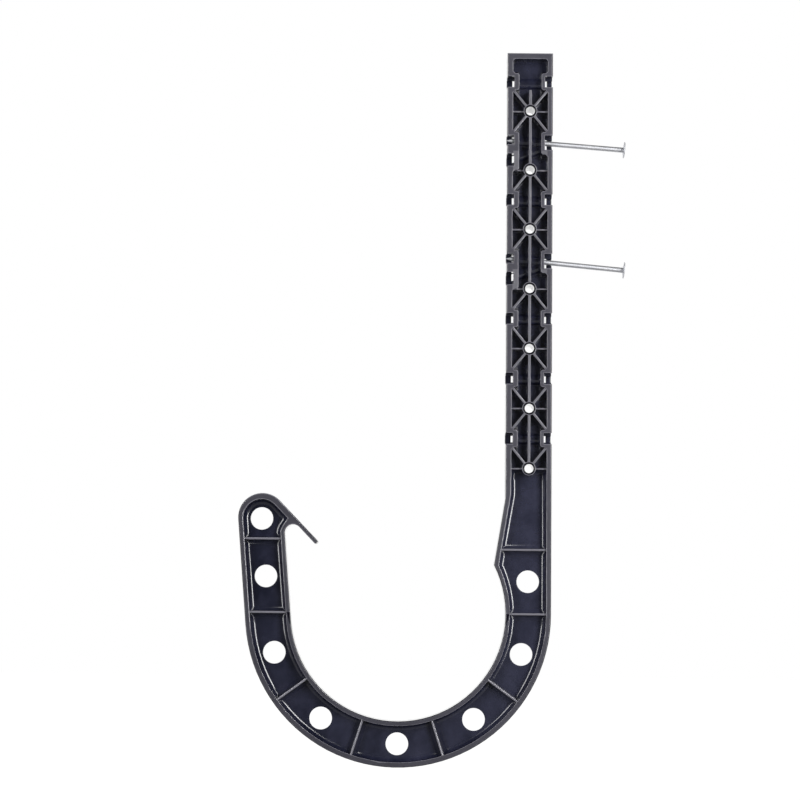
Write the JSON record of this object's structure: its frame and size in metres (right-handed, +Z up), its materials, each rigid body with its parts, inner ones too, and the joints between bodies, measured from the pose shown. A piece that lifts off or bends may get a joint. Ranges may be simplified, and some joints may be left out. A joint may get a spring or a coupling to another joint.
{
  "type": "j hook cable and pipe support",
  "caption": "Moulded plastic J hook with a long ribbed stem, a round open cradle, a guard finger and two nails pushed through the stem, for hanging a pipe or cable bundle from a joist.",
  "frame": {"origin": "centre of the round cradle, halfway through the depth", "axes": "+Z up the stem, +X towards the nail heads, front faces -Y, +Y along the pipe or cable"},
  "size_m": [0.2078, 0.016, 0.386],
  "materials": {
    "black_plastic": "moulded, satin, slightly mottled",
    "zinc_steel": "zinc plated wire nail"
  },
  "bodies": {
    "root": {"hook_body": "black_plastic", "upper_nail": "zinc_steel", "lower_nail": "zinc_steel"}
  },
  "joints": []
}
